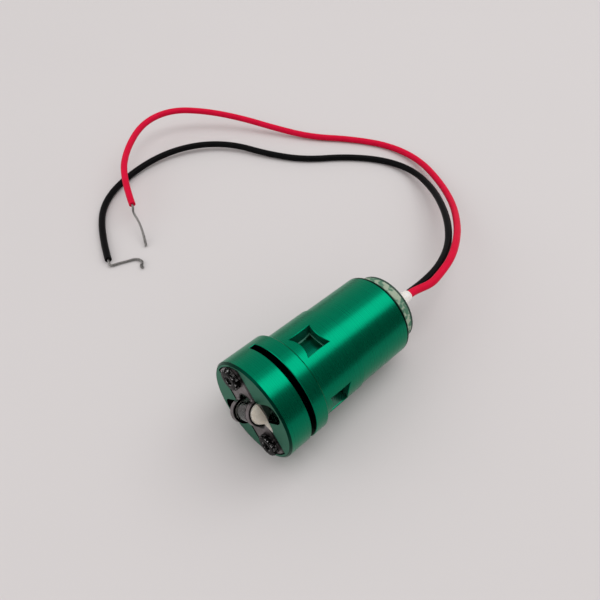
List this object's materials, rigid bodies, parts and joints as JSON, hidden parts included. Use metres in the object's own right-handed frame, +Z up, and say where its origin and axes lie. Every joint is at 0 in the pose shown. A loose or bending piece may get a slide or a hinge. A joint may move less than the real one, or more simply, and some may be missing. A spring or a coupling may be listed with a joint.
{
  "type": "laser diode module",
  "caption": "Line laser diode module: a flanged green barrel with a tuning slit and windows, a rod lens clipped across its face, and a driver board with two leads behind.",
  "frame": {"origin": "on the surface that the module lies on, under the middle of its rigid box", "axes": "+Z up; the barrel runs along Y, tipped a few degrees, with the beam leaving towards -Y"},
  "size_m": [0.0797, 0.0706, 0.0164],
  "materials": {
    "green_anodised": "satin green anodised turned aluminium",
    "clear_glass": "clear polished glass, rod ends ground",
    "spring_steel": "bright rolled spring steel",
    "black_steel": "black oxide steel",
    "black_anodised": "matt black anodised",
    "brass": "turned brass",
    "gold_plate": "gold plated",
    "nickel_plate": "nickel plated",
    "board": "green solder mask over glass laminate",
    "black_epoxy": "moulded epoxy",
    "ceramic_chip": "fired ceramic with tinned ends",
    "solder": "bright tin solder",
    "white_glue": "translucent white glue",
    "red_insulation": "smooth soft insulation",
    "black_insulation": "smooth soft insulation",
    "tinned_copper": "tinned stranded copper, twisted"
  },
  "bodies": {
    "root": {"housing": "green_anodised", "rod_lens": "clear_glass", "lens_clip": "spring_steel", "clip_screw_upper": "black_steel", "clip_screw_lower": "black_steel", "collimator_sleeve": "green_anodised", "collimating_lens": "clear_glass", "lens_retainer": "black_anodised", "focus_spring": "spring_steel", "diode_holder": "brass", "diode_base": "gold_plate", "diode_cap": "nickel_plate", "diode_window": "clear_glass", "diode_leads": "gold_plate", "driver_board": "board", "driver_chip": "black_epoxy", "chip_resistors": "ceramic_chip", "chip_capacitors": "ceramic_chip", "lead_solder": "solder", "wire_solder": "solder", "wire_glue": "white_glue", "red_wire": "red_insulation", "red_wire_end": "tinned_copper", "black_wire": "black_insulation", "black_wire_end": "tinned_copper"}
  },
  "joints": []
}
